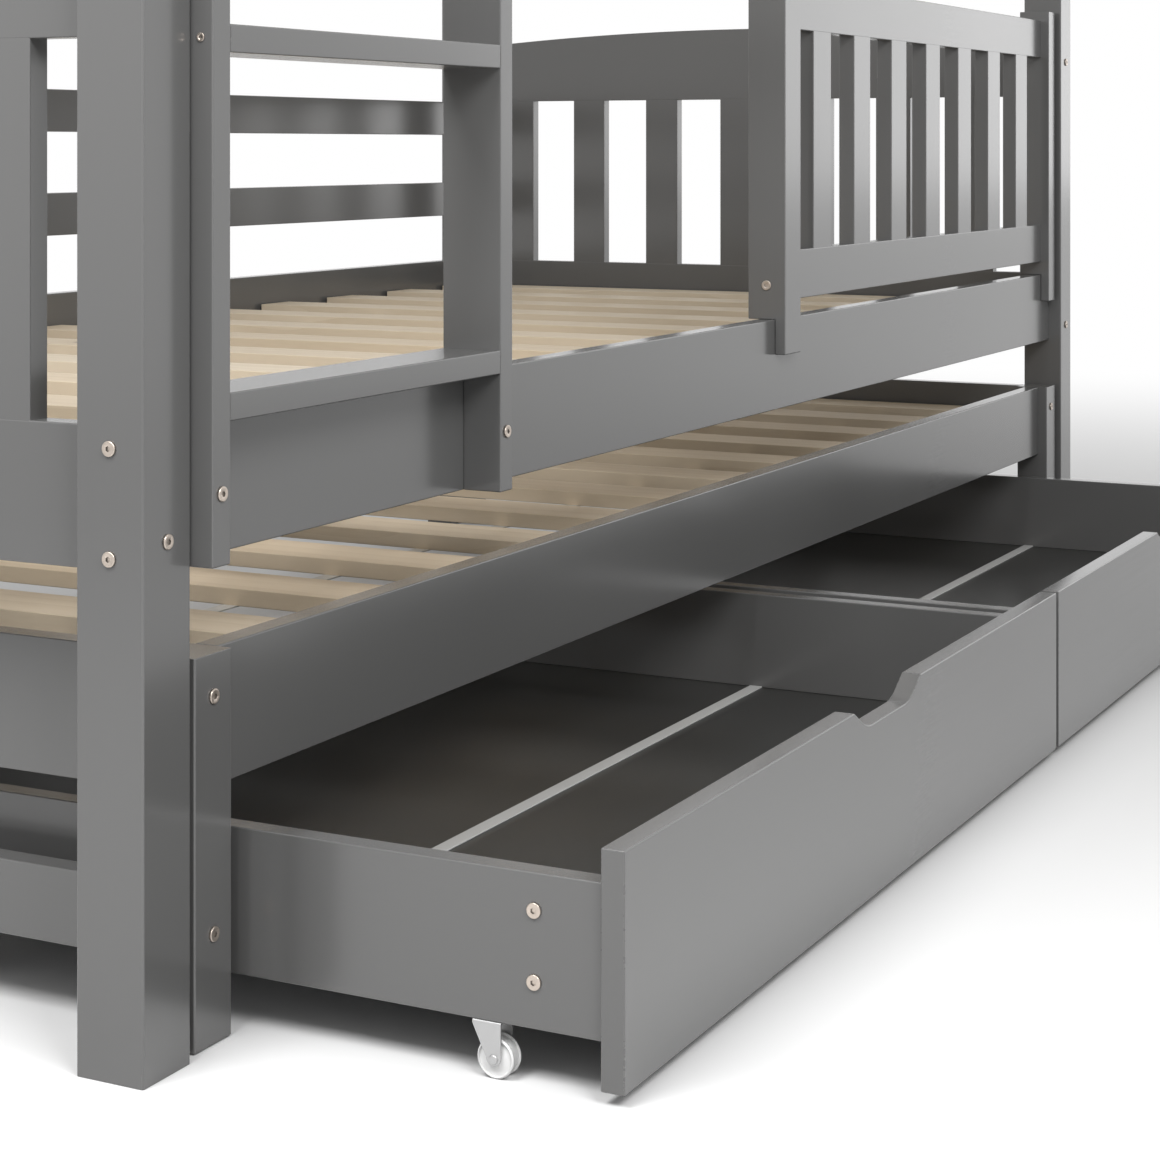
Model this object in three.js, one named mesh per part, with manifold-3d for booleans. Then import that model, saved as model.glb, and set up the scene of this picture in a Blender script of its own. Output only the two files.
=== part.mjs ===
import * as THREE from 'three';
import { mergeVertices } from 'three/addons/utils/BufferGeometryUtils.js';
import Module from 'manifold-3d';

// Wooden bunk bed for two mattresses of 2000 x 900, with a low guest bed that slides out
// from under it and two drawers on castors below the guest bed.
// Millimetres, +Z up. X runs along the bed and Y from its front to its back.
// The pieces are placed from the left front corner of the posts' outline, at the floor.
// At the end the bed is moved so that the origin is the middle of the left front post's foot.

// Overall size, over the posts
const bedLength = 2080;
const bedWidth = 969;

// Timber
const postAlong = 48.5;
const postAcross = 51;
const postArris = 1;
const postRise = 57;
const boardThickness = 18;
const sideRailHeight = 90;
const narrowRailHeight = 50;
const fillWidth = 51;
const tenonLength = 12;
const fitClearance = 0.5;

// Levels of the two bunks, by the underside of their side rails
const lowerBunkFoot = 310;
const bunkSpacing = 840;
const slatDrop = 37;

// Ends of the bunks: a board, a row of upright slats and an arched head rail
const endOpeningHeight = 241;
const headRailEndHeight = 83;
const headRailRise = 19;
const endFillPitch = 119.7;

// Two rails along the back of each bunk, by their undersides above the side rail
const backRailLifts = [68, 190];

// Guards along the front
const guardRailLift = 17.5;
const guardOpeningHeight = 224.5;
const guardStileDepth = 40;
const guardStileWidth = 42;
const guardEndStileWidth = 28;
const guardStileDrop = 35;
const guardStileRise = 12;
const guardPostGap = 11.5;
const guardFillPitch = 120.2;
const lowerGuardStart = 1050;

// Ladder
const ladderPostGap = 1;
const ladderStileThickness = 19.2;
const ladderOpening = 353;
const ladderDepth = 50.5;
const treadPitch = 232;

// Slatted bases: pine slats held at their pitch by two ribbons
const slatCount = 13;
const slatThickness = 14;
const slatEndClearance = 5;
const slatWidth = 65.5;
const bunkSlatPitch = 159.6;
const guestSlatPitch = 150.3;
const ribbonWidth = 14;
const ribbonThickness = 1.2;
const ribbonInset = 182;
const battenWidth = 20;
const battenHeight = 30;

// Guest bed
const guestLeg = 40.5;
const guestLegArris = 1;
const guestPostGap = 11;
const guestFrontInset = 5;
const guestHeight = 250;
const guestSlatDrop = 29.3;
const guestBattenHeight = 40;
const guestStretcherFoot = 50;
const glideHeight = 1.2;
const glideRadius = 14;
const glideSides = 24;

// Drawers
const drawerLegGap = 5;
const drawerSeam = 7;
const drawerBoard = 16;
const drawerFrontFoot = 8;
const drawerFrontHeight = 146;
const drawerFrontOverhang = 5;
const drawerSideHeight = 95.5;
const drawerInsideDepth = 559;
const drawerBottomThickness = 4;
const drawerRebate = 8;
const drawerPulledOut = 278.4;
const drawerJoinWidth = 13;
const drawerJoinHeight = 1.5;
const gripTopWidth = 150;
const gripFootWidth = 95;
const gripDepth = 16;
const gripCornerLength = 12;

// Castors
const wheelDiameter = 25.6;
const treadWidth = 11.6;
const wheelGap = 0.3;
const wheelSegments = 28;
const wheelShoulder = 1.5;
const wheelHubRadius = 4.5;
const forkWidth = 16;
const forkSheet = 1.2;
const forkTopLength = 19.9;
const forkEndRadius = 5.2;
const forkEndLift = 1.2;
const forkEndSegments = 8;
const axleDiameter = 4;
const axleSegments = 16;
const castorFootHeight = 36;
const castorSetback = 75.9;
const cutOverrun = 1;

// Places that several pieces share
const postInner = postAlong;
const farPostInner = bedLength - postAlong;
const farPostFront = bedWidth - postAcross;
const railFront = (postAcross - boardThickness) / 2;
const railBack = railFront + boardThickness;
const farRailFront = bedWidth - railBack;
const farRailBack = bedWidth - railFront;
const endPanelStart = (postAlong - boardThickness) / 2;
const upperBunkFoot = lowerBunkFoot + bunkSpacing;
const upperRailTop = upperBunkFoot + sideRailHeight;
const upperHeadTop = upperRailTop + endOpeningHeight + headRailEndHeight + headRailRise;
const postHeight = upperHeadTop + postRise;
const arcSegments = 24;

const wasm = await Module();
wasm.setup();

function paint(name, colour, roughness, metalness = 0) {
  return () => {
    const material = new THREE.MeshStandardMaterial({ color: colour, roughness, metalness });
    material.name = name;
    return material;
  };
}

const greyPaint = paint('grey_paint', 0x7c7c7a, 0.45);
const barePine = paint('bare_pine', 0xd8c8a8, 0.6);
const greyPanel = paint('grey_panel', 0x6b6b69, 0.35);
const whiteNylon = paint('white_nylon', 0xefefed, 0.4);
const zincSteel = paint('zinc_steel', 0xb4b4b2, 0.35, 0.9);

function block([x0, x1], [y0, y1], [z0, z1]) {
  const geometry = new THREE.BoxGeometry(x1 - x0, y1 - y0, z1 - z0);
  return geometry.translate((x0 + x1) / 2, (y0 + y1) / 2, (z0 + z1) / 2);
}

function extruded(outline, depth, curveSegments = arcSegments) {
  return new THREE.ExtrudeGeometry(outline, { depth, bevelEnabled: false, curveSegments });
}

// An outline drawn in Y and Z, made into a board that starts at x
function boardAcross(outline, x, thickness, curveSegments) {
  const turn = new THREE.Matrix4().makeBasis(
    new THREE.Vector3(0, 1, 0),
    new THREE.Vector3(0, 0, 1),
    new THREE.Vector3(1, 0, 0),
  );
  return extruded(outline, thickness, curveSegments).applyMatrix4(turn).translate(x, 0, 0);
}

// An outline drawn in X and Z, made into a board that starts at y
function boardAlong(outline, y, thickness) {
  const turn = new THREE.Matrix4().makeBasis(
    new THREE.Vector3(1, 0, 0),
    new THREE.Vector3(0, 0, 1),
    new THREE.Vector3(0, -1, 0),
  );
  return extruded(outline, thickness).applyMatrix4(turn).translate(0, y + thickness, 0);
}

function outlineOf(points) {
  return new THREE.Shape(points.map(([across, up]) => new THREE.Vector2(across, up)));
}

function solid(geometry) {
  const bare = geometry.clone();
  bare.deleteAttribute('normal');
  bare.deleteAttribute('uv');
  const merged = mergeVertices(bare);
  return new wasm.Manifold(new wasm.Mesh({
    numProp: 3,
    vertProperties: merged.attributes.position.array,
    triVerts: Uint32Array.from(merged.index.array),
  }));
}

function surfaceOf(body) {
  const mesh = body.getMesh();
  const geometry = new THREE.BufferGeometry();
  geometry.setAttribute('position', new THREE.BufferAttribute(mesh.vertProperties, 3));
  geometry.setIndex(new THREE.BufferAttribute(mesh.triVerts, 1));
  geometry.computeVertexNormals();
  return geometry;
}

function fused(geometries) {
  return surfaceOf(geometries.map(solid).reduce((whole, next) => whole.add(next)));
}

function piece(name, geometry, material, parent) {
  const mesh = new THREE.Mesh(geometry, material());
  mesh.name = name;
  parent.add(mesh);
  return mesh;
}

// A square timber standing on end, with its long edges taken off
function upright([x0, x1], [y0, y1], [z0, z1], arris) {
  const section = outlineOf([
    [x0 + arris, y0],
    [x1 - arris, y0],
    [x1, y0 + arris],
    [x1, y1 - arris],
    [x1 - arris, y1],
    [x0 + arris, y1],
    [x0, y1 - arris],
    [x0, y0 + arris],
  ]);
  return extruded(section, z1 - z0).translate(0, 0, z0);
}

// A rail with the batten that carries the slats on its inner face
function railWithBatten([x0, x1], outer, inner, [foot, top], battenTop, battenDepth) {
  const inwards = Math.sign(inner - outer);
  const battenInner = inner + inwards * battenWidth;
  const section = outlineOf([
    [outer, foot],
    [inner, foot],
    [inner, battenTop - battenDepth],
    [battenInner, battenTop - battenDepth],
    [battenInner, battenTop],
    [inner, battenTop],
    [inner, top],
    [outer, top],
  ]);
  return boardAcross(section, x0, x1 - x0);
}

// Slats across the bed, joined by a ribbon under each end
function slatBase(pitch, [y0, y1], top) {
  const underside = top - slatThickness;
  const rowLength = (slatCount - 1) * pitch + slatWidth;
  const start = (bedLength - rowLength) / 2;
  const slats = [];
  for (let n = 0; n < slatCount; n += 1) {
    const x = start + n * pitch;
    slats.push(block([x, x + slatWidth], [y0, y1], [underside, top]));
  }
  const ribbonTop = underside + ribbonThickness / 3;
  for (const middle of [y0 + ribbonInset, y1 - ribbonInset]) {
    slats.push(block(
      [start, start + rowLength],
      [middle - ribbonWidth / 2, middle + ribbonWidth / 2],
      [ribbonTop - ribbonThickness, ribbonTop],
    ));
  }
  return fused(slats);
}

// Where upright slats begin that fill a gap with even spaces
function fillPlaces(gapStart, gapEnd, pitch) {
  const count = Math.round((gapEnd - gapStart - pitch + fillWidth) / pitch);
  const rowLength = (count - 1) * pitch + fillWidth;
  const rowStart = (gapStart + gapEnd - rowLength) / 2;
  return Array.from({ length: count }, (unused, n) => rowStart + n * pitch);
}

// Panel between two posts at an end of a bunk
function endPanel(x, foot) {
  const openingFoot = foot + sideRailHeight;
  const openingTop = openingFoot + endOpeningHeight;
  const headEnd = openingTop + headRailEndHeight;
  const halfSpan = (farPostFront - postAcross) / 2;
  const archRadius = (halfSpan ** 2 + headRailRise ** 2) / (2 * headRailRise);
  const archAngle = Math.asin(halfSpan / archRadius);
  const head = new THREE.Shape();
  head.moveTo(postAcross, openingTop);
  head.lineTo(farPostFront, openingTop);
  head.absarc(
    bedWidth / 2,
    headEnd + headRailRise - archRadius,
    archRadius,
    Math.PI / 2 - archAngle,
    Math.PI / 2 + archAngle,
    false,
  );
  head.closePath();
  const parts = [
    boardAcross(head, x, boardThickness),
    block([x, x + boardThickness], [postAcross, farPostFront], [foot, openingFoot]),
  ];
  for (const y of fillPlaces(postAcross, farPostFront, endFillPitch)) {
    parts.push(block(
      [x, x + boardThickness],
      [y, y + fillWidth],
      [openingFoot - tenonLength, openingTop + tenonLength],
    ));
  }
  return fused(parts);
}

// Guard that stands on the front side rail and laps over its front
function frontGuard(start, nearWidth, foot) {
  const railTop = foot + sideRailHeight;
  const end = farPostInner - guardPostGap;
  const lowFoot = railTop + guardRailLift;
  const lowTop = lowFoot + narrowRailHeight;
  const highFoot = lowTop + guardOpeningHeight;
  const highTop = highFoot + narrowRailHeight;
  const stileFront = (postAcross - guardStileDepth) / 2;
  const clear = [start + nearWidth, end - guardEndStileWidth];
  const parts = [];
  for (const span of [[start, clear[0]], [clear[1], end]]) {
    const stile = outlineOf([
      [stileFront, railTop - guardStileDrop],
      [railFront, railTop - guardStileDrop],
      [railFront, railTop],
      [stileFront + guardStileDepth, railTop],
      [stileFront + guardStileDepth, highTop + guardStileRise],
      [stileFront, highTop + guardStileRise],
    ]);
    parts.push(boardAcross(stile, span[0], span[1] - span[0]));
  }
  const railSpan = [clear[0] - tenonLength, clear[1] + tenonLength];
  parts.push(block(railSpan, [railFront, railBack], [lowFoot, lowTop]));
  parts.push(block(railSpan, [railFront, railBack], [highFoot, highTop]));
  for (const x of fillPlaces(clear[0], clear[1], guardFillPitch)) {
    parts.push(block(
      [x, x + fillWidth],
      [railFront, railBack],
      [lowTop - tenonLength, highFoot + tenonLength],
    ));
  }
  return fused(parts);
}

// Ladder stile, notched over the side rail of each bunk
function ladderStile(x) {
  const front = railBack - ladderDepth;
  const points = [
    [front, lowerBunkFoot],
    [railFront, lowerBunkFoot],
    [railFront, lowerBunkFoot + sideRailHeight],
    [railBack, lowerBunkFoot + sideRailHeight],
    [railBack, upperBunkFoot - fitClearance],
    [railFront, upperBunkFoot - fitClearance],
    [railFront, upperRailTop + fitClearance],
    [railBack, upperRailTop + fitClearance],
    [railBack, guardTopOf(upperBunkFoot)],
    [front, guardTopOf(upperBunkFoot)],
  ];
  return boardAcross(outlineOf(points), x, ladderStileThickness);
}

function guardTopOf(foot) {
  const rails = guardRailLift + 2 * narrowRailHeight + guardOpeningHeight;
  return foot + sideRailHeight + rails + guardStileRise;
}

// Drawer front with the grip cut into its upper edge
function drawerFront(length) {
  const top = drawerFrontFoot + drawerFrontHeight;
  const middle = length / 2;
  const gripFoot = top - gripDepth;
  const slope = (gripTopWidth - gripFootWidth) / 2 / gripDepth;
  const cornerAcross = gripCornerLength * slope / Math.hypot(1, slope);
  const cornerUp = gripCornerLength / Math.hypot(1, slope);
  const outline = new THREE.Shape();
  outline.moveTo(0, drawerFrontFoot);
  outline.lineTo(length, drawerFrontFoot);
  outline.lineTo(length, top);
  outline.lineTo(middle + gripTopWidth / 2, top);
  outline.lineTo(middle + gripFootWidth / 2 + cornerAcross, gripFoot + cornerUp);
  outline.quadraticCurveTo(
    middle + gripFootWidth / 2,
    gripFoot,
    middle + gripFootWidth / 2 - gripCornerLength,
    gripFoot,
  );
  outline.lineTo(middle - gripFootWidth / 2 + gripCornerLength, gripFoot);
  outline.quadraticCurveTo(
    middle - gripFootWidth / 2,
    gripFoot,
    middle - gripFootWidth / 2 - cornerAcross,
    gripFoot + cornerUp,
  );
  outline.lineTo(middle - gripTopWidth / 2, top);
  outline.lineTo(0, top);
  outline.closePath();
  return boardAlong(outline, 0, drawerBoard);
}

// Sides and back of a drawer, with a rebate along the lower edges for the bottom
function drawerCarcass([x0, x1], [y0, y1]) {
  const heights = [castorFootHeight, castorFootHeight + drawerSideHeight];
  const walls = fused([
    block([x0, x0 + drawerBoard], [y0, y1], heights),
    block([x1 - drawerBoard, x1], [y0, y1], heights),
    block([x0 + drawerBoard / 2, x1 - drawerBoard / 2], [y1 - drawerBoard, y1], heights),
  ]);
  const rebate = block(
    [x0 + drawerBoard - drawerRebate, x1 - drawerBoard + drawerRebate],
    [y0 - cutOverrun, y1 - drawerBoard + drawerRebate],
    [castorFootHeight - cutOverrun, castorFootHeight + drawerBottomThickness],
  );
  return surfaceOf(solid(walls).subtract(solid(rebate)));
}

// Bottom of a drawer in two panels that a profile joins along the middle
function drawerBottom([x0, x1], [y0, y1]) {
  const top = castorFootHeight + drawerBottomThickness;
  const clear = [x0 + drawerBoard, x1 - drawerBoard];
  const middle = (y0 + y1 - drawerBoard) / 2;
  return fused([
    block(
      [clear[0] - drawerRebate + fitClearance, clear[1] + drawerRebate - fitClearance],
      [y0, y1 - drawerBoard + drawerRebate - fitClearance],
      [castorFootHeight, top],
    ),
    block(
      [clear[0] + fitClearance, clear[1] - fitClearance],
      [middle - drawerJoinWidth / 2, middle + drawerJoinWidth / 2],
      [castorFootHeight + drawerBottomThickness / 2, top + drawerJoinHeight],
    ),
  ]);
}

// Castor fork of folded sheet with its axle, by its axle and the left side of its plate
function castorFork(x, axleY) {
  const axleZ = wheelDiameter / 2;
  const endZ = axleZ + forkEndLift;
  const top = castorFootHeight;
  const front = axleY - forkEndRadius;
  const back = front + forkTopLength;
  const cheek = new THREE.Shape();
  cheek.moveTo(front, endZ);
  cheek.absarc(axleY, endZ, forkEndRadius, Math.PI, 2 * Math.PI, false);
  cheek.lineTo(back, top - 2 * forkSheet);
  cheek.lineTo(back, top);
  cheek.lineTo(front, top);
  cheek.closePath();
  const channel = block(
    [x + forkSheet, x + forkWidth - forkSheet],
    [front - cutOverrun, back + cutOverrun],
    [endZ - forkEndRadius - cutOverrun, top - forkSheet],
  );
  const axle = new THREE.CylinderGeometry(axleDiameter / 2, axleDiameter / 2, forkWidth, axleSegments);
  axle.rotateZ(Math.PI / 2).translate(x + forkWidth / 2, axleY, axleZ);
  const folded = solid(boardAcross(cheek, x, forkWidth, forkEndSegments)).subtract(solid(channel));
  return surfaceOf(folded.add(solid(axle)));
}

// Castor wheel on its axle, with a hub that keeps it off the fork
function castorWheel() {
  const radius = wheelDiameter / 2;
  const bore = axleDiameter / 2 + wheelGap;
  const half = treadWidth / 2;
  const hubHalf = forkWidth / 2 - forkSheet - wheelGap;
  const profile = [
    [bore, -hubHalf],
    [wheelHubRadius, -hubHalf],
    [wheelHubRadius, -half],
    [radius - wheelShoulder, -half],
    [radius, -half + wheelShoulder],
    [radius, half - wheelShoulder],
    [radius - wheelShoulder, half],
    [wheelHubRadius, half],
    [wheelHubRadius, hubHalf],
    [bore, hubHalf],
    [bore, -hubHalf],
  ].map(([r, along]) => new THREE.Vector2(r, along));
  return new THREE.LatheGeometry(profile, wheelSegments).rotateZ(-Math.PI / 2);
}

// Guest bed leg with the glide under it
function guestLegOn([x0, x1], [y0, y1]) {
  const leg = upright([x0, x1], [y0, y1], [glideHeight, guestHeight], guestLegArris);
  const glide = new THREE.CylinderGeometry(glideRadius, glideRadius, 2 * glideHeight, glideSides);
  glide.rotateX(Math.PI / 2).translate((x0 + x1) / 2, (y0 + y1) / 2, glideHeight);
  return fused([leg, glide]);
}

const bed = new THREE.Group();
bed.position.set(-postAlong / 2, -postAcross / 2, 0);

const postPlaces = [
  ['post_front_left', 0, 0],
  ['post_back_left', 0, farPostFront],
  ['post_front_right', farPostInner, 0],
  ['post_back_right', farPostInner, farPostFront],
];
for (const [name, x, y] of postPlaces) {
  const post = upright([x, x + postAlong], [y, y + postAcross], [0, postHeight], postArris);
  piece(name, post, greyPaint, bed);
}

const slatSpan = [railBack + slatEndClearance, farRailFront - slatEndClearance];
for (const [bunk, foot] of [['lower', lowerBunkFoot], ['upper', upperBunkFoot]]) {
  const railTop = foot + sideRailHeight;
  const slatTop = railTop - slatDrop;
  const battenTop = slatTop - slatThickness;
  const length = [postInner, farPostInner];
  const height = [foot, railTop];
  const frontRail = railWithBatten(length, railFront, railBack, height, battenTop, battenHeight);
  const backRail = railWithBatten(length, farRailBack, farRailFront, height, battenTop, battenHeight);
  piece(`${bunk}_side_rail_front`, frontRail, greyPaint, bed);
  piece(`${bunk}_side_rail_back`, backRail, greyPaint, bed);
  const farPanelStart = farPostInner + endPanelStart;
  piece(`${bunk}_end_panel_left`, endPanel(endPanelStart, foot), greyPaint, bed);
  piece(`${bunk}_end_panel_right`, endPanel(farPanelStart, foot), greyPaint, bed);
  backRailLifts.forEach((lift, n) => {
    const rail = block(
      length,
      [farRailFront, farRailBack],
      [railTop + lift, railTop + lift + narrowRailHeight],
    );
    piece(`${bunk}_back_guard_rail_${n + 1}`, rail, greyPaint, bed);
  });
  const base = slatBase(bunkSlatPitch, slatSpan, slatTop);
  piece(`${bunk}_slat_base`, base, barePine, bed);
}

const ladderStart = postInner + ladderPostGap;
const ladderTreadStart = ladderStart + ladderStileThickness;
const ladderTreadEnd = ladderTreadStart + ladderOpening;
const ladderEnd = ladderTreadEnd + ladderStileThickness;
piece('ladder_stile_left', ladderStile(ladderStart), greyPaint, bed);
piece('ladder_stile_right', ladderStile(ladderTreadEnd), greyPaint, bed);
const treadRoom = bunkSpacing - sideRailHeight - boardThickness;
for (let n = 0; n * treadPitch <= treadRoom; n += 1) {
  const foot = lowerBunkFoot + sideRailHeight + n * treadPitch;
  const tread = block(
    [ladderTreadStart, ladderTreadEnd],
    [railBack - ladderDepth, railBack],
    [foot, foot + boardThickness],
  );
  piece(`ladder_tread_${n + 1}`, tread, greyPaint, bed);
}

const upperGuardStart = ladderEnd + fitClearance;
const lowerGuard = frontGuard(lowerGuardStart, guardStileWidth, lowerBunkFoot);
const upperGuard = frontGuard(upperGuardStart, guardEndStileWidth, upperBunkFoot);
piece('lower_front_guard', lowerGuard, greyPaint, bed);
piece('upper_front_guard', upperGuard, greyPaint, bed);

// Guest bed
const guestBed = new THREE.Group();
bed.add(guestBed);
const guestLegStart = postInner + guestPostGap;
const guestLegEnd = guestLegStart + guestLeg;
const guestRailSpan = [guestLegEnd, bedLength - guestLegEnd];
const guestFrontLeg = [guestFrontInset, guestFrontInset + guestLeg];
const guestBackLeg = [bedWidth - guestFrontInset - guestLeg, bedWidth - guestFrontInset];
const guestRailFoot = guestHeight - sideRailHeight;
const guestSlatTop = guestHeight - guestSlatDrop;
const guestSides = [
  ['left', guestLegStart, guestLegStart + (guestLeg - boardThickness) / 2],
  ['right', bedLength - guestLegEnd, bedLength - guestLegEnd + (guestLeg - boardThickness) / 2],
];
for (const [side, legStart, boardStart] of guestSides) {
  const along = [legStart, legStart + guestLeg];
  const boardSpan = [boardStart, boardStart + boardThickness];
  const across = [guestFrontLeg[1], guestBackLeg[0]];
  piece(`guest_leg_front_${side}`, guestLegOn(along, guestFrontLeg), greyPaint, guestBed);
  piece(`guest_leg_back_${side}`, guestLegOn(along, guestBackLeg), greyPaint, guestBed);
  const board = block(boardSpan, across, [guestRailFoot, guestHeight]);
  piece(`guest_end_board_${side}`, board, greyPaint, guestBed);
  const stretcher = block(
    boardSpan,
    across,
    [guestStretcherFoot, guestStretcherFoot + narrowRailHeight],
  );
  piece(`guest_end_stretcher_${side}`, stretcher, greyPaint, guestBed);
}
const guestBattenTop = guestSlatTop - slatThickness;
const guestRails = [
  ['guest_rail_front', railFront, railBack],
  ['guest_rail_back', farRailBack, farRailFront],
];
for (const [name, outer, inner] of guestRails) {
  const height = [guestRailFoot, guestHeight];
  const rail = railWithBatten(guestRailSpan, outer, inner, height, guestBattenTop, guestBattenHeight);
  piece(name, rail, greyPaint, guestBed);
}
const guestBase = slatBase(guestSlatPitch, slatSpan, guestSlatTop);
piece('guest_slat_base', guestBase, barePine, guestBed);

// Two drawers side by side between the guest bed's legs, drawn partly out
const drawerRowStart = guestLegEnd + drawerLegGap;
const drawerLength = (bedLength - 2 * drawerRowStart - drawerSeam) / 2;
for (const number of [1, 2]) {
  const drawer = new THREE.Group();
  const start = drawerRowStart + (number - 1) * (drawerLength + drawerSeam);
  drawer.position.set(start, guestFrontInset - drawerPulledOut, 0);
  bed.add(drawer);
  const along = [drawerFrontOverhang, drawerLength - drawerFrontOverhang];
  const across = [drawerBoard, 2 * drawerBoard + drawerInsideDepth];
  piece(`drawer_${number}_front`, drawerFront(drawerLength), greyPaint, drawer);
  piece(`drawer_${number}_sides_and_back`, drawerCarcass(along, across), greyPaint, drawer);
  piece(`drawer_${number}_bottom`, drawerBottom(along, across), greyPanel, drawer);
  const castorPlaces = [
    ['front_left', along[0], across[0] + castorSetback],
    ['front_right', along[1] - forkWidth, across[0] + castorSetback],
    ['back_left', along[0], across[1] - castorSetback],
    ['back_right', along[1] - forkWidth, across[1] - castorSetback],
  ];
  for (const [place, forkStart, axleY] of castorPlaces) {
    piece(`drawer_${number}_fork_${place}`, castorFork(forkStart, axleY), zincSteel, drawer);
    const wheel = piece(`drawer_${number}_wheel_${place}`, castorWheel(), whiteNylon, drawer);
    wheel.position.set(forkStart + forkWidth / 2, axleY, wheelDiameter / 2);
  }
}

export default bed;
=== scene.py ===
import math

import bmesh
import bpy
from mathutils import Matrix, Vector


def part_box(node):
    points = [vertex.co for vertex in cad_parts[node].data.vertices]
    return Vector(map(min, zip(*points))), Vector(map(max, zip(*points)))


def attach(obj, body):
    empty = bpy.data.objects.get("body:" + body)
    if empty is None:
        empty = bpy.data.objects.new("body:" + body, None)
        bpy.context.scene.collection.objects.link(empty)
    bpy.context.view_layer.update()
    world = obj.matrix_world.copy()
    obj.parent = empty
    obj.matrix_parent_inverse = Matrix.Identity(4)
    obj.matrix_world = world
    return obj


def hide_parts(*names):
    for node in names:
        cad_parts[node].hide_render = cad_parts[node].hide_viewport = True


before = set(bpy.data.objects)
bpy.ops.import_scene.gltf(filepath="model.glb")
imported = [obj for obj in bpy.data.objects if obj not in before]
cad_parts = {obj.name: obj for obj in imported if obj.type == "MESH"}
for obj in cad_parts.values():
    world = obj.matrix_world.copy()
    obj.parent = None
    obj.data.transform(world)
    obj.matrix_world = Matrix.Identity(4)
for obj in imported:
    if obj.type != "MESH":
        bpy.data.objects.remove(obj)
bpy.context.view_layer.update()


# Camera
# It stands low and in front, off the bed's left end, and looks along the bed. It is level,
# and its picture is shifted down to the floor.
lens = bpy.data.cameras.new("camera")
lens.sensor_width = 36
lens.lens = 75.03
lens.shift_y = -0.374
lens.clip_end = 100
camera = bpy.data.objects.new("camera", lens)
camera.location = (-1.21288, -0.92373, 0.573)
camera.rotation_euler = (math.radians(90), 0, math.radians(-63.164))
bpy.context.collection.objects.link(camera)
bpy.context.scene.camera = camera
bpy.context.scene.view_settings.view_transform = "Standard"


# Floor and light
# A white studio floor that runs into a white background, in the even light of a white studio,
# with soft lights at the left end, in front of it and far off to the right. The lens and
# mirror-like surfaces see the studio white, and all other surfaces get its plain light.
class Shade:
    """A socket of a material's nodes that joins in sums as a number does."""

    def __init__(self, tree, socket=None):
        self.tree = tree
        self.socket = socket

    def feed(self, target, value):
        if isinstance(value, Shade):
            self.tree.links.new(value.socket, target)
        else:
            target.default_value = value

    def node(self, kind, settings=None, inputs=None, output=0):
        made = self.tree.nodes.new(kind)
        for name, value in (settings or {}).items():
            setattr(made, name, value)
        for key, value in (inputs or {}).items():
            self.feed(made.inputs[key], value)
        return Shade(self.tree, made.outputs[output])

    def sum(self, operation, *values):
        return self.node("ShaderNodeMath", {"operation": operation}, dict(enumerate(values)))

    def __add__(self, other):
        return self.sum("ADD", self, other)

    def __sub__(self, other):
        return self.sum("SUBTRACT", self, other)

    def __mul__(self, other):
        return self.sum("MULTIPLY", self, other)

    def __truediv__(self, other):
        return self.sum("DIVIDE", self, other)

    def __rsub__(self, other):
        return self.sum("SUBTRACT", other, self)

    __radd__ = __add__
    __rmul__ = __mul__

    def step(self, start, end):
        """0 below start and 1 above end, with a soft change between them."""
        return self.node(
            "ShaderNodeMapRange",
            {"interpolation_type": "SMOOTHSTEP"},
            {"Value": self, "From Min": start, "From Max": end},
        )

    def seen(self):
        """1 for the rays of the lens, of mirror-like surfaces and of clear ones, else 0."""
        path = self.node("ShaderNodeLightPath").socket.node
        names = ("Is Camera Ray", "Is Glossy Ray", "Is Transmission Ray")
        camera, mirror, clear = (Shade(self.tree, path.outputs[name]) for name in names)
        return self.sum("MAXIMUM", self.sum("MAXIMUM", camera, mirror), clear)

    def mix(self, first, second):
        """A colour between two colours, by this value."""
        return self.node(
            "ShaderNodeMix",
            {"data_type": "RGBA"},
            {"Factor": self, 6: first, 7: second},
            2,
        )


world = bpy.data.worlds.new("studio")
bpy.context.scene.world = world
world.use_nodes = True
sky = Shade(world.node_tree)
sky_level = 0.64
floor_seen = (0.82, 0.82, 0.82, 1)
floor_bounce = (0.33, 0.33, 0.33, 1)
floor_reach = 12
veil_start = 2.5
veil_end = 5.0
background = world.node_tree.nodes["Background"]
background.inputs["Color"].default_value = (1, 1, 1, 1)
sky.feed(background.inputs["Strength"], sky.seen() * (1 - sky_level) + sky_level)

floor_mesh = bpy.data.meshes.new("floor")
made = bmesh.new()
bmesh.ops.create_circle(made, cap_ends=True, segments=96, radius=floor_reach)
made.to_mesh(floor_mesh)
made.free()
floor = bpy.data.objects.new("floor", floor_mesh)
bpy.context.collection.objects.link(floor)
floor_finish = bpy.data.materials.new("studio_floor")
floor_finish.use_nodes = True
ground = Shade(floor_finish.node_tree)
floor_shader = floor_finish.node_tree.nodes["Principled BSDF"]
ground.feed(floor_shader.inputs["Base Color"], ground.seen().mix(floor_bounce, floor_seen))
floor_shader.inputs["Roughness"].default_value = 0.7
floor_shader.inputs["Specular IOR Level"].default_value = 0.2
glow = ground.node("ShaderNodeEmission", None, {"Color": (1, 1, 1, 1), "Strength": 1.0})
spot = ground.node("ShaderNodeTexCoord", output="Object")
away = ground.node("ShaderNodeVectorMath", {"operation": "LENGTH"}, {0: spot}, 1)
veil = ground.seen() * away.step(veil_start, veil_end)
blend = ground.node(
    "ShaderNodeMixShader",
    None,
    {0: veil, 1: Shade(floor_finish.node_tree, floor_shader.outputs[0]), 2: glow},
)
floor_output = floor_finish.node_tree.nodes["Material Output"]
ground.feed(floor_output.inputs["Surface"], blend)
floor_mesh.materials.append(floor_finish)


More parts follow.
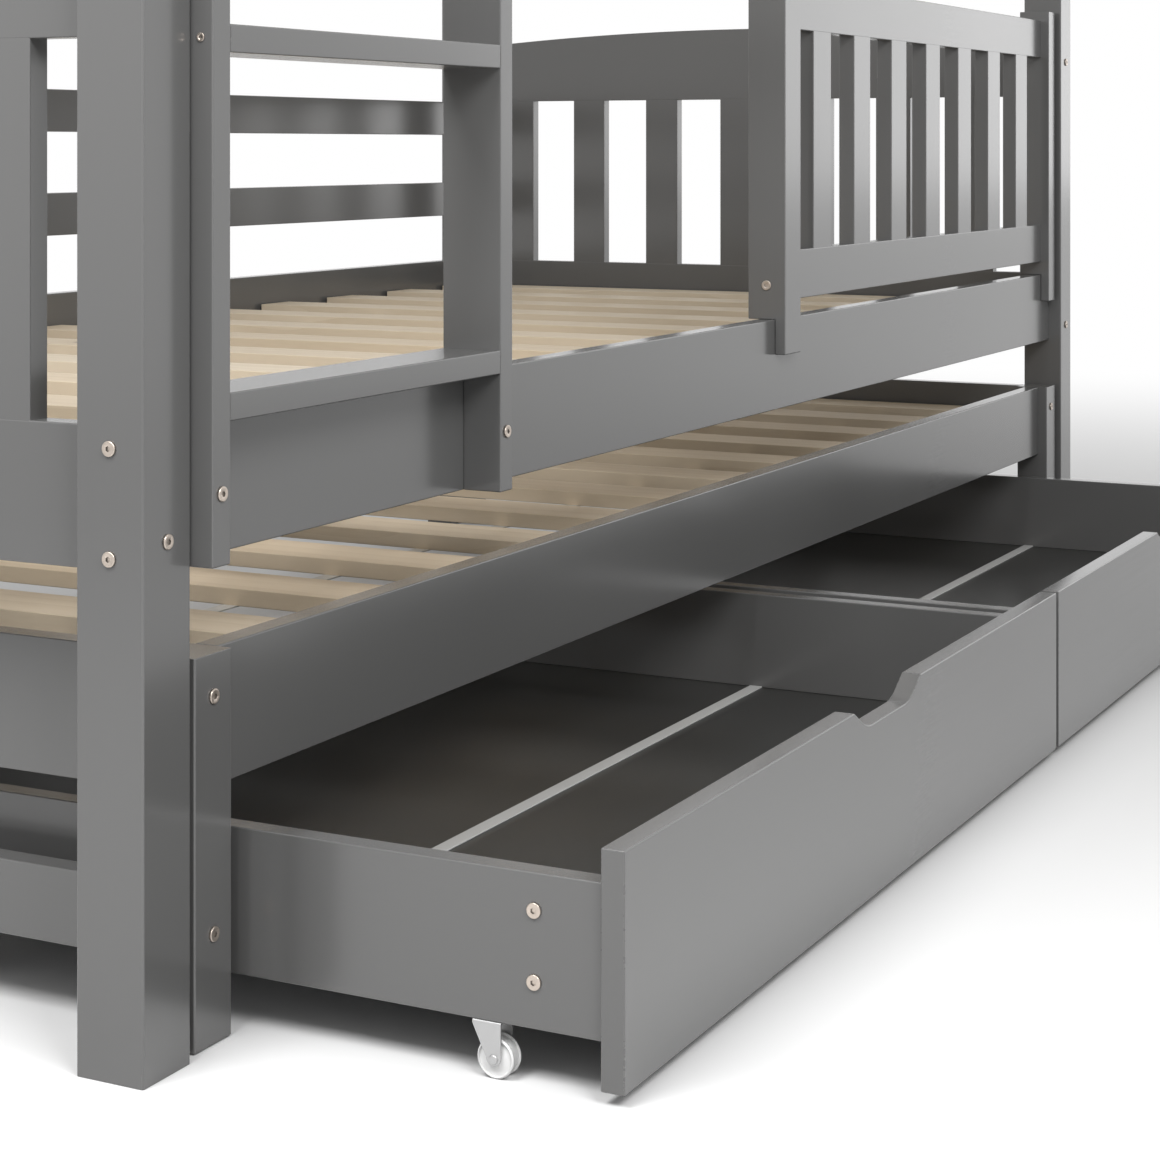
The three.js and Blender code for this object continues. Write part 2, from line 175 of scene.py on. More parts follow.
def softbox(name, place, target, size, power):
    """A square area light that faces the target."""
    light = bpy.data.lights.new(name, "AREA")
    light.shape = "SQUARE"
    light.size = size
    light.energy = power
    lamp = bpy.data.objects.new(name, light)
    lamp.location = place
    lamp.rotation_euler = (Vector(target) - Vector(place)).to_track_quat("-Z", "Y").to_euler()
    bpy.context.collection.objects.link(lamp)


softbox("left", (-0.9, 0.15, 1.8), (0.0, 0.3, 0.6), 0.8, 29)
softbox("front", (-0.8, -1.6, 1.9), (0.1, 0.0, 0.5), 1.0, 36)
softbox("right", (7.0, -2.2, 1.6), (1.5, -0.2, 0.6), 2.4, 20)


# Posts
# Four planed pine posts of 48.5 x 51 mm, their long edges eased, sanded and sprayed with a
# satin grey paint. Everything else is bolted to them.
def painted(name, grain):
    """Satin grey paint over pine whose grain runs along x, y or z, with a painted highlight on its
    rounded edges.
    """
    finish = bpy.data.materials.new(name)
    finish.use_nodes = True
    tree = finish.node_tree
    shader = tree.nodes["Principled BSDF"]
    paint = Shade(tree)
    place = paint.node("ShaderNodeTexCoord", output="Object")
    along = Vector((1, 1, 1))
    along["xyz".index(grain)] = 0.03
    drawn = paint.node("ShaderNodeVectorMath", {"operation": "MULTIPLY"}, {0: place, 1: along})
    cloud = paint.node("ShaderNodeTexNoise", None, {"Vector": place, "Scale": 3.1, "Detail": 3})
    streak = paint.node("ShaderNodeTexNoise", None, {"Vector": drawn, "Scale": 240, "Detail": 4})
    spray = paint.node("ShaderNodeTexNoise", None, {"Vector": place, "Scale": 900, "Detail": 2})
    arris = paint.node("ShaderNodeAttribute", {"attribute_name": "arris"}, output="Fac")
    # The faces of the rounded edges are painted lighter, a painted highlight, and made a little
    # rougher.
    tone = (cloud - 0.5) * 0.10 + (streak - 0.5) * 0.04 + arris * 0.10
    dark = (0.1060, 0.1055, 0.1045, 1)
    light = (0.1380, 0.1370, 0.1355, 1)
    paint.feed(shader.inputs["Base Color"], (tone + 0.5).mix(dark, light))
    rough = (cloud - 0.5) * 0.10 + (streak - 0.5) * 0.05 + arris * 0.05 + 0.22
    paint.feed(shader.inputs["Roughness"], rough)
    bump = paint.node(
        "ShaderNodeBump",
        None,
        {"Height": streak * 0.25 + spray * 0.75, "Strength": 0.05, "Distance": 0.0002},
    )
    paint.feed(shader.inputs["Normal"], bump)
    shader.inputs["IOR"].default_value = 1.6
    shader.inputs["Coat Weight"].default_value = 0.4
    shader.inputs["Coat Roughness"].default_value = 0.16
    return finish


paint_x = painted("grey_paint_grain_x", "x")
paint_y = painted("grey_paint_grain_y", "y")
paint_z = painted("grey_paint_grain_z", "z")


def ease(made, edges, width, steps=2):
    """Rounds edges, and marks the faces of the rounding, which the grey paint lightens as a
    painted highlight.
    """
    rounded = bmesh.ops.bevel(
        made,
        geom=edges,
        offset=width,
        offset_type="OFFSET",
        affect="EDGES",
        segments=steps,
        profile=0.5,
        material=-1,
        clamp_overlap=True,
    )
    mark = made.loops.layers.float.get("arris") or made.loops.layers.float.new("arris")
    for face in rounded["faces"]:
        for corner in face.loops:
            corner[mark] = 1.0


def sharp_edges(made):
    """The edges where two faces meet at more than 30 degrees."""
    corner = math.radians(30)
    return [e for e in made.edges if len(e.link_faces) == 2 and e.calc_face_angle(0) > corner]


def solid_copy(node):
    """The merged solid of a CAD node, without the triangles of its flat faces."""
    weld = 0.00002
    flat = math.radians(1)
    made = bmesh.new()
    made.from_mesh(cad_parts[node].data)
    bmesh.ops.remove_doubles(made, verts=made.verts, dist=weld)
    bmesh.ops.dissolve_limit(made, angle_limit=flat, verts=made.verts, edges=made.edges)
    return made


def piece(name, made, finish, body, slot, *nodes):
    """Turns a finished mesh into a piece that rides on a body and stands for CAD nodes."""
    for face in made.faces:
        face.smooth = True
    mesh = bpy.data.meshes.new(name)
    made.to_mesh(mesh)
    made.free()
    for layer in finish if isinstance(finish, list) else [finish]:
        mesh.materials.append(layer)
    dressed = bpy.data.objects.new(name, mesh)
    bpy.context.collection.objects.link(dressed)
    dressed.modifiers.new("flat_faces", "WEIGHTED_NORMAL").weight = 100
    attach(dressed, body)
    if nodes:
        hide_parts(*nodes)


def eased_copy(node, width, finish, body, slot):
    """A piece that is a CAD node's solid with its sharp edges rounded."""
    made = solid_copy(node)
    ease(made, sharp_edges(made), width)
    piece(f"{node}_dressed", made, finish, body, slot, node)


post_ease = 0.0005
for post in ("front_left", "back_left", "front_right", "back_right"):
    eased_copy(f"post_{post}", post_ease, paint_z, "bed_frame", "grey_paint")


# Side rails
# Boards of 18 x 90 mm between the posts, each with a batten glued and screwed along its
# inner face for the slats. The back has two more rails of 18 x 50 mm as a guard.
rail_ease = 0.0010
for bunk in ("lower", "upper"):
    for rail in ("side_rail_front", "side_rail_back", "back_guard_rail_1", "back_guard_rail_2"):
        eased_copy(f"{bunk}_{rail}", rail_ease, paint_x, "bed_frame", "grey_paint")


# End panels
# A glued panel at each end of a bunk: a board, seven upright slats tenoned into it and an
# arched head rail, all painted as one.
def join(made, block):
    """Moves one mesh into another."""
    part = bpy.data.meshes.new("part")
    block.to_mesh(part)
    block.free()
    made.from_mesh(part)
    bpy.data.meshes.remove(part)


def fill_places(gap, width, step):
    """Where upright slats begin that fill a gap with even spaces."""
    count = round((gap[1] - gap[0] - step + width) / step)
    first = (gap[0] + gap[1] - (count - 1) * step - width) / 2
    return [first + n * step for n in range(count)]


def add_board(made, x, y, z, width, layer=0, cuts=0, shape=None):
    """Adds an eased board between three pairs of planes, bent by shape if one is given."""
    size = Vector((x[1] - x[0], y[1] - y[0], z[1] - z[0]))
    middle = Vector((x[0] + x[1], y[0] + y[1], z[0] + z[1])) / 2
    block = bmesh.new()
    matrix = Matrix.Translation(middle) @ Matrix.Diagonal(size).to_4x4()
    bmesh.ops.create_cube(block, size=1, matrix=matrix)
    if cuts:
        run = size.y / 2
        across = [e for e in block.edges if abs(e.verts[0].co.y - e.verts[1].co.y) > run]
        bmesh.ops.subdivide_edges(block, edges=across, cuts=cuts, use_grid_fill=True)
    if shape:
        for corner in block.verts:
            shape(corner.co)
    ease(block, sharp_edges(block), width)
    for face in block.faces:
        face.material_index = layer
    join(made, block)


panel_board = 0.090
panel_opening = 0.241
panel_rise = 0.019
panel_slat = 0.051
panel_slat_step = 0.1197
panel_recess = 0.0002
panel_tenon = 0.012
panel_ease = 0.0010
arch_cuts = 31
for bunk in ("lower", "upper"):
    for side in ("left", "right"):
        node = f"{bunk}_end_panel_{side}"
        low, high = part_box(node)
        x = (low.x, high.x)
        span = (low.y, high.y)
        opening = (low.z + panel_board, low.z + panel_board + panel_opening)
        half = (span[1] - span[0]) / 2
        radius = (half ** 2 + panel_rise ** 2) / (2 * panel_rise)

        def arch(corner, crown=high.z, centre=(span[0] + span[1]) / 2, foot=opening[1]):
            if corner.z > (foot + crown) / 2:
                away = corner.y - centre
                corner.z = crown - radius + math.sqrt(radius ** 2 - away ** 2)

        made = bmesh.new()
        add_board(made, x, span, (low.z, opening[0]), panel_ease)
        add_board(made, x, span, (opening[1], high.z), panel_ease, cuts=arch_cuts, shape=arch)
        inner = (low.x + panel_recess, high.x - panel_recess)
        for start in fill_places(span, panel_slat, panel_slat_step):
            upright = (opening[0] - panel_tenon, opening[1] + panel_tenon)
            add_board(made, inner, (start, start + panel_slat), upright, panel_ease, layer=1)
        piece(f"{node}_dressed", made, [paint_y, paint_z], "bed_frame", "grey_paint", node)


# Front guards
# Two rails and a row of slats between two stiles, which stand on the side rail, are notched
# over it and lap down its front.
def add_profile(made, x, outline, width, layer=0):
    """Adds an eased board with an outline in y and z, from one x to another."""
    block = bmesh.new()
    corners = [block.verts.new((x[0], y, z)) for y, z in outline]
    face = block.faces.new(corners)
    grown = bmesh.ops.extrude_face_region(block, geom=[face])
    moved = [v for v in grown["geom"] if isinstance(v, bmesh.types.BMVert)]
    bmesh.ops.translate(block, verts=moved, vec=(x[1] - x[0], 0, 0))
    bmesh.ops.recalc_face_normals(block, faces=block.faces)
    ease(block, sharp_edges(block), width)
    for face in block.faces:
        face.material_index = layer
    join(made, block)


guard_rail = 0.050
guard_lift = 0.0175
guard_opening = 0.2245
guard_drop = 0.035
guard_slat = 0.051
guard_slat_step = 0.1202
guard_stile = 0.028
guard_near_stiles = (("lower", 0.042), ("upper", guard_stile))
guard_tenon = 0.012
guard_recess = 0.0002
guard_ease = 0.0010
for bunk, near_stile in guard_near_stiles:
    node = f"{bunk}_front_guard"
    low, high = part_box(node)
    rail_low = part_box(f"{bunk}_side_rail_front")[0]
    rail_depth = (rail_low.y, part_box("ladder_tread_1")[1].y)
    rail_top = low.z + guard_drop
    clear = (low.x + near_stile, high.x - guard_stile)
    low_rail = (rail_top + guard_lift, rail_top + guard_lift + guard_rail)
    high_rail = (low_rail[1] + guard_opening, low_rail[1] + guard_opening + guard_rail)
    made = bmesh.new()
    outline = [
        (low.y, low.z),
        (rail_low.y, low.z),
        (rail_low.y, rail_top),
        (high.y, rail_top),
        (high.y, high.z),
        (low.y, high.z),
    ]
    add_profile(made, (low.x, clear[0]), outline, guard_ease, layer=1)
    add_profile(made, (clear[1], high.x), outline, guard_ease, layer=1)
    inset = (clear[0] - guard_tenon, clear[1] + guard_tenon)
    add_board(made, inset, rail_depth, low_rail, guard_ease)
    add_board(made, inset, rail_depth, high_rail, guard_ease)
    depth = (rail_depth[0] + guard_recess, rail_depth[1] - guard_recess)
    for start in fill_places(clear, guard_slat, guard_slat_step):
        upright = (low_rail[1] - guard_tenon, high_rail[0] + guard_tenon)
        add_board(made, (start, start + guard_slat), depth, upright, guard_ease, layer=1)
    piece(f"{node}_dressed", made, [paint_x, paint_z], "bed_frame", "grey_paint", node)


# Ladder
# Two stiles of 19 x 50 mm, notched over both front side rails, with treads of 18 mm board
# bolted between them.
ladder_ease = 0.0010
for side in ("left", "right"):
    eased_copy(f"ladder_stile_{side}", ladder_ease, paint_z, "bed_frame", "grey_paint")
for node in sorted(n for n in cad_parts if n.startswith("ladder_tread_")):
    eased_copy(node, ladder_ease, paint_x, "bed_frame", "grey_paint")


# Slatted bases
# Bare planed pine slats across the bed, stapled at their pitch to two woven ribbons that run
# under them. Each lies loose on the battens.
def pine(name, first, pitch):
    """Bare pine whose grain runs along y, with each slat cut from its own place in the log."""
    finish = bpy.data.materials.new(name)
    finish.use_nodes = True
    tree = finish.node_tree
    shader = tree.nodes["Principled BSDF"]
    wood = Shade(tree)
    place = wood.node("ShaderNodeTexCoord", output="Object")
    x = wood.node("ShaderNodeSeparateXYZ", None, {0: place})
    number = wood.sum("FLOOR", (x - first) / pitch)
    chance = wood.node("ShaderNodeTexWhiteNoise", {"noise_dimensions": "1D"}, {"W": number})
    second = wood.node("ShaderNodeTexWhiteNoise", {"noise_dimensions": "1D"}, {"W": number + 31.7})
    shift = wood.node(
        "ShaderNodeCombineXYZ",
        None,
        {"X": chance * 3.0, "Y": second * 5.0, "Z": chance},
    )
    moved = wood.node("ShaderNodeVectorMath", {"operation": "ADD"}, {0: place, 1: shift})
    log = wood.node(
        "ShaderNodeVectorMath",
        {"operation": "MULTIPLY"},
        {0: moved, 1: (1.0, 0.09, 1.0)},
    )
    wander = wood.node("ShaderNodeTexNoise", None, {"Vector": log, "Scale": 14.0, "Detail": 2.0})
    rings = wood.node(
        "ShaderNodeTexWave",
        {"wave_type": "RINGS", "rings_direction": "Y", "wave_profile": "SAW"},
        {"Vector": log, "Scale": 15.0, "Distortion": 6.0, "Detail": 2.0, "Detail Scale": 1.2},
        1,
    )
    fibre = wood.node("ShaderNodeTexNoise", None, {"Vector": log, "Scale": 420.0, "Detail": 3.0})
    branch = wood.node(
        "ShaderNodeVectorMath",
        {"operation": "MULTIPLY"},
        {0: moved, 1: (1.0, 0.55, 1.0)},
    )
    knots = wood.node("ShaderNodeTexVoronoi", None, {"Vector": branch, "Scale": 6.5})
    knot = 1 - (knots + (wander - 0.5) * 0.03).step(0.035, 0.075)
    halo = 1 - knots.step(0.06, 0.20)
    late = rings * 0.55 + (fibre - 0.5) * 0.5 + (wander - 0.5) * 0.6
    tone = late.step(0.05, 0.85)
    pale = chance.mix((0.82, 0.705, 0.545, 1), (0.74, 0.615, 0.455, 1))
    grown = (tone * 0.32 + halo * 0.25).mix(pale, (0.56, 0.44, 0.28, 1))
    colour = (knot * 0.85).mix(grown, (0.19, 0.09, 0.035, 1))
    wood.feed(shader.inputs["Base Color"], colour)
    wood.feed(shader.inputs["Roughness"], 0.52 + (fibre - 0.5) * 0.18 - knot * 0.12)
    bump = wood.node(
        "ShaderNodeBump",
        None,
        {"Height": fibre * 0.7 + rings * 0.3, "Strength": 0.25, "Distance": 0.0005},
    )
    wood.feed(shader.inputs["Normal"], bump)
    return finish


def webbing():
    """White woven ribbon, with painted shade in the hollows of its weave."""
    finish = bpy.data.materials.new("white_ribbon")
    finish.use_nodes = True
    shader = finish.node_tree.nodes["Principled BSDF"]
    cloth = Shade(finish.node_tree)
    place = cloth.node("ShaderNodeTexCoord", output="Object")
    thread = {"Vector": place, "Scale": 190.0}
    warp = cloth.node("ShaderNodeTexWave", {"bands_direction": "X"}, thread, 1)
    weft = cloth.node("ShaderNodeTexWave", {"bands_direction": "Y"}, thread, 1)
    weave = warp * weft
    # The hollows of the weave are painted darker than the raised threads, a painted shade.
    hollow_shade = (0.62, 0.61, 0.58, 1)
    raised = (0.80, 0.79, 0.76, 1)
    cloth.feed(shader.inputs["Base Color"], weave.mix(hollow_shade, raised))
    cloth.feed(shader.inputs["Roughness"], 0.85 - weave * 0.1)
    relief = {"Height": weave, "Strength": 0.4, "Distance": 0.0003}
    cloth.feed(shader.inputs["Normal"], cloth.node("ShaderNodeBump", None, relief))
    return finish


ribbon_finish = webbing()
slat_ease = 0.0008
slat_thickness = 0.014
slat_width = 0.0655
ribbon_width = 0.014
ribbon_thickness = 0.0012
ribbon_inset = 0.182
ribbon_ease = 0.0002
slat_rows = (
    ("lower_slat_base", 0.1596, "bed_frame"),
    ("upper_slat_base", 0.1596, "bed_frame"),
    ("guest_slat_base", 0.1503, "guest_bed"),
)
for node, pitch, body in slat_rows:
    low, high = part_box(node)
    made = bmesh.new()
    count = round((high.x - low.x - slat_width) / pitch) + 1
    level = (high.z - slat_thickness, high.z)
    for n in range(count):
        start = low.x + n * pitch
        add_board(made, (start, start + slat_width), (low.y, high.y), level, slat_ease)
    for middle in (low.y + ribbon_inset, high.y - ribbon_inset):
        across = (middle - ribbon_width / 2, middle + ribbon_width / 2)
        depth = (low.z, low.z + ribbon_thickness)
        add_board(made, (low.x, high.x), across, depth, ribbon_ease, layer=1)
    first = low.x - (pitch - slat_width) / 2
    finish = [pine(f"{node}_pine", first, pitch), ribbon_finish]
    piece(f"{node}_dressed", made, finish, body, "bare_pine", node)


# Guest bed
# A low frame on four legs that stand on thin glides: two side rails with battens, two end
# boards and two stretchers, all painted as the bed is.
guest_ease = 0.0010
for side in ("left", "right"):
    for leg in ("front", "back"):
        eased_copy(f"guest_leg_{leg}_{side}", post_ease, paint_z, "guest_bed", "grey_paint")
    eased_copy(f"guest_end_board_{side}", guest_ease, paint_y, "guest_bed", "grey_paint")
    eased_copy(f"guest_end_stretcher_{side}", guest_ease, paint_y, "guest_bed", "grey_paint")
for rail in ("front", "back"):
    eased_copy(f"guest_rail_{rail}", guest_ease, paint_x, "guest_bed", "grey_paint")


# Drawers
# A front of 16 mm board with a grip sawn out of its upper edge, lower sides and back of the
# same board, and a bottom in two thin hardboard panels with a plastic profile between them.
def hardboard():
    """Smooth dark grey lacquered fibreboard."""
    finish = bpy.data.materials.new("grey_hardboard")
    finish.use_nodes = True
    shader = finish.node_tree.nodes["Principled BSDF"]
    sheet = Shade(finish.node_tree)
    place = sheet.node("ShaderNodeTexCoord", output="Object")
    cloud = sheet.node("ShaderNodeTexNoise", None, {"Vector": place, "Scale": 5, "Detail": 4})
    mottle = sheet.node("ShaderNodeTexNoise", None, {"Vector": place, "Scale": 160, "Detail": 2})
    tone = cloud * 0.7 + mottle * 0.3
    dark = (0.036, 0.036, 0.035, 1)
    light = (0.052, 0.052, 0.050, 1)
    sheet.feed(shader.inputs["Base Color"], tone.mix(dark, light))
    sheet.feed(shader.inputs["Roughness"], 0.30 + (cloud - 0.5) * 0.08)
    relief = {"Height": cloud, "Strength": 0.02, "Distance": 0.0002}
    sheet.feed(shader.inputs["Normal"], sheet.node("ShaderNodeBump", None, relief))
    return finish


def moulded(name, colour, roughness):
    """Moulded plastic with a faint texture and a slight unevenness."""
    finish = bpy.data.materials.new(name)
    finish.use_nodes = True
    shader = finish.node_tree.nodes["Principled BSDF"]
    plastic = Shade(finish.node_tree)
    place = plastic.node("ShaderNodeTexCoord", output="Object")
    cloud = plastic.node("ShaderNodeTexNoise", None, {"Vector": place, "Scale": 30, "Detail": 2})
    grain = plastic.node("ShaderNodeTexNoise", None, {"Vector": place, "Scale": 1500})
    lower = tuple(c * 0.93 for c in colour[:3]) + (1,)
    plastic.feed(shader.inputs["Base Color"], cloud.mix(lower, colour))
    plastic.feed(shader.inputs["Roughness"], roughness + (cloud - 0.5) * 0.1)
    relief = {"Height": grain, "Strength": 0.08, "Distance": 0.0002}
    plastic.feed(shader.inputs["Normal"], plastic.node("ShaderNodeBump", None, relief))
    return finish


panel_finish = hardboard()
profile_finish = moulded("pale_profile", (0.62, 0.62, 0.61, 1), 0.35)
wheel_finish = moulded("white_wheel", (0.86, 0.86, 0.855, 1), 0.38)
drawer_ease = 0.0009
profile_width = 0.013
profile_height = 0.0015
profile_ease = 0.0005
profile_inset = 0.008
bottom_thickness = 0.004
bottom_ease = 0.0004
bottom_joint = 0.002
web_ease = 0.0002
for number in (1, 2):
    body = f"drawer_{number}"
    eased_copy(f"{body}_front", drawer_ease, paint_x, body, "grey_paint")
    eased_copy(f"{body}_sides_and_back", drawer_ease, paint_y, body, "grey_paint")
    low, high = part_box(f"{body}_bottom")
    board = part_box(f"{body}_front")[1].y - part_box(f"{body}_front")[0].y
    middle = (low.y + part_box(f"{body}_sides_and_back")[1].y - board) / 2
    joint = (middle - bottom_joint / 2, middle + bottom_joint / 2)
    top = low.z + bottom_thickness
    made = bmesh.new()
    for panel in ((low.y, joint[0]), (joint[1], high.y)):
        add_board(made, (low.x, high.x), panel, (low.z, top), bottom_ease)
    across = (middle - profile_width / 2, middle + profile_width / 2)
    along = (low.x + profile_inset, high.x - profile_inset)
    add_board(made, along, across, (top, top + profile_height), profile_ease, layer=1)
    add_board(made, along, joint, (low.z, top), web_ease, layer=1)
    finish = [panel_finish, profile_finish]
    piece(f"{body}_bottom_dressed", made, finish, body, "grey_panel", f"{body}_bottom")


# Castors
# Four fixed castors under each drawer's sides: a fork folded from zinc-plated sheet, a
# riveted axle and a white plastic wheel.
def plated(name, colour, roughness, patch):
    """Plated steel with faint brushing and a cloudy sheen, with painted shade on the walls of bolt
    sockets.
    """
    finish = bpy.data.materials.new(name)
    finish.use_nodes = True
    shader = finish.node_tree.nodes["Principled BSDF"]
    metal = Shade(finish.node_tree)
    place = metal.node("ShaderNodeTexCoord", output="Object")
    brushed = metal.node(
        "ShaderNodeVectorMath",
        {"operation": "MULTIPLY"},
        {0: place, 1: (1.0, 1.0, 0.05)},
    )
    cloud = metal.node("ShaderNodeTexNoise", None, {"Vector": place, "Scale": patch, "Detail": 3})
    fine = {"Vector": brushed, "Scale": 2500, "Detail": 2}
    line = metal.node("ShaderNodeTexNoise", None, fine)
    deeper = tuple(c * 0.82 for c in colour[:3]) + (1,)
    # Faces marked as hollow, the walls of a bolt's socket, are painted much darker, a painted
    # shade.
    hollow_shade = metal.node("ShaderNodeAttribute", {"attribute_name": "hollow_shade"}, output="Fac")
    socket_shade = tuple(c * 0.2 for c in colour[:3]) + (1,)
    metal.feed(shader.inputs["Base Color"], hollow_shade.mix(cloud.mix(deeper, colour), socket_shade))
    metal.feed(shader.inputs["Roughness"], roughness + (cloud - 0.5) * 0.16 + (line - 0.5) * 0.12)
    relief = {"Height": line, "Strength": 0.06, "Distance": 0.0001}
    metal.feed(shader.inputs["Normal"], metal.node("ShaderNodeBump", None, relief))
    shader.inputs["Metallic"].default_value = 0.9
    return finish


zinc = plated("zinc_plate", (0.55, 0.55, 0.55, 1), 0.42, 90.0)
rivet_radius = 0.0032
rivet_height = 0.0009
rivet_taper = 0.82
rivet_ease = 0.0003
rivet_segments = 24
fold_radius = 0.0015
fold_reach = 0.0001
sheet_ease = 0.0002
wheel_shoulder = 0.0015
wheel_hub = 0.0045
tread_half = 0.0058
axle_bore = 0.0023
wheel_steps = 96
shoulder_steps = 6
wheel_weld = 0.000001
castors = [f"{side}_{end}" for side in ("front", "back") for end in ("left", "right")]
for number in (1, 2):
    for castor in castors:
        body = f"drawer_{number}"
        fork = f"{body}_fork_{castor}"
        wheel = f"{body}_wheel_{castor}"
        low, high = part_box(wheel)
        axle = (low + high) / 2
        fork_low, fork_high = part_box(fork)
        made = solid_copy(fork)
        top_z = fork_high.z - fold_reach
        fold = [
            e for e in sharp_edges(made)
            if all(v.co.z > top_z for v in e.verts) and e.verts[0].co.x == e.verts[1].co.x
        ]
        ease(made, fold, fold_radius, 4)
        ease(made, sharp_edges(made), sheet_ease, 1)
        for face_x, out in ((fork_low.x, -1), (fork_high.x, 1)):
            head = bmesh.new()
            turn = Matrix.Rotation(out * math.pi / 2, 4, "Y")
            turn = Matrix.Translation((face_x, axle.y, axle.z)) @ turn
            bmesh.ops.create_circle(
                head,
                cap_ends=True,
                segments=rivet_segments,
                radius=rivet_radius,
            )
            top = bmesh.ops.extrude_face_region(head, geom=head.faces[:])
            raised = [v for v in top["geom"] if isinstance(v, bmesh.types.BMVert)]
            bmesh.ops.translate(head, verts=raised, vec=(0, 0, rivet_height))
            bmesh.ops.scale(head, verts=raised, vec=(rivet_taper, rivet_taper, 1))
            bmesh.ops.recalc_face_normals(head, faces=head.faces)
            ease(head, sharp_edges(head), rivet_ease)
            bmesh.ops.transform(head, matrix=turn, verts=head.verts)
            join(made, head)
        piece(f"{fork}_dressed", made, zinc, body, "zinc_steel", fork)

        radius = (high.z - low.z) / 2
        hub = (high.x - low.x) / 2
        bends = [math.pi / 2 * n / shoulder_steps for n in range(shoulder_steps + 1)]
        section = [(-hub, axle_bore), (-hub, wheel_hub), (-tread_half, wheel_hub)]
        for bend in bends:
            section.append((
                -tread_half + wheel_shoulder * (1 - math.sin(bend)),
                radius - wheel_shoulder * (1 - math.cos(bend)),
            ))
        made = bmesh.new()
        right = [(-x, r) for x, r in reversed(section)]
        chain = [made.verts.new((x, 0, r)) for x, r in section + right]
        chain.append(chain[0])
        rim = [made.edges.new(pair) for pair in zip(chain, chain[1:])]
        bmesh.ops.spin(
            made,
            geom=rim + chain[:-1],
            cent=(0, 0, 0),
            axis=(1, 0, 0),
            angle=2 * math.pi,
            steps=wheel_steps,
            use_merge=True,
        )
        bmesh.ops.remove_doubles(made, verts=made.verts, dist=wheel_weld)
        bmesh.ops.recalc_face_normals(made, faces=made.faces)
        bmesh.ops.translate(made, verts=made.verts, vec=axle)
        piece(f"{wheel}_dressed", made, wheel_finish, wheel, "white_nylon", wheel)


# Bolts
# Flanged cap screws with a hexagon socket, nickel-plated with a warm tint. They hold the
# rails, panels, ladder, guards, guest bed and drawer sides. Smaller ones hold the ladder's
# treads, except the lowest, which is in front of the side rail.
nickel = plated("warm_nickel", (0.63, 0.55, 0.48, 1), 0.34, 500.0)
bolt_radius = 0.0049
bolt_height = 0.0016
bolt_rounding = 0.0006
bolt_segments = 36
socket_radius = 0.0019
socket_depth = 0.0012
screw_radius = 0.0028


def add_bolt(made, place, out, size=bolt_radius):
    """Adds a bolt head at a place on a face that looks out along x or y."""
    head = bmesh.new()
    hollow_shade = head.loops.layers.float.new("hollow_shade")
    bmesh.ops.create_circle(head, cap_ends=True, segments=bolt_segments, radius=bolt_radius)
    grown = bmesh.ops.extrude_face_region(head, geom=head.faces[:])
    raised = [v for v in grown["geom"] if isinstance(v, bmesh.types.BMVert)]
    bmesh.ops.translate(head, verts=raised, vec=(0, 0, bolt_height))
    bmesh.ops.recalc_face_normals(head, faces=head.faces)
    rim = [e for e in sharp_edges(head) if e.verts[0].co.z > bolt_height / 2]
    ease(head, rim, bolt_rounding, 3)
    top = max(head.faces, key=lambda f: f.calc_center_median().z)
    flange = bolt_radius - bolt_rounding - socket_radius
    bmesh.ops.inset_region(head, faces=[top], thickness=flange)
    for corner in top.verts:
        angle = math.atan2(corner.co.y, corner.co.x) % (math.pi / 3) - math.pi / 6
        reach = socket_radius * math.cos(math.pi / 6) / math.cos(angle)
        flat = corner.co.xy.normalized() * reach
        corner.co.x, corner.co.y = flat
    sunk = bmesh.ops.extrude_face_region(head, geom=[top])
    bmesh.ops.delete(head, geom=[top], context="FACES")
    low = [v for v in sunk["geom"] if isinstance(v, bmesh.types.BMVert)]
    bmesh.ops.translate(head, verts=low, vec=(0, 0, -socket_depth))
    bmesh.ops.recalc_face_normals(head, faces=head.faces)
    # The walls of the socket are marked so that the plated finish paints them dark, a painted
    # shade.
    base = [f for f in sunk["geom"] if isinstance(f, bmesh.types.BMFace)]
    for wall in {f for v in low for f in v.link_faces}.difference(base):
        for corner in wall.loops:
            corner[hollow_shade] = 1.0
    turn = Vector((0, 0, 1)).rotation_difference(Vector(out)).to_matrix().to_4x4()
    turn = turn @ Matrix.Scale(size / bolt_radius, 4)
    bmesh.ops.transform(head, matrix=Matrix.Translation(place) @ turn, verts=head.verts)
    join(made, head)


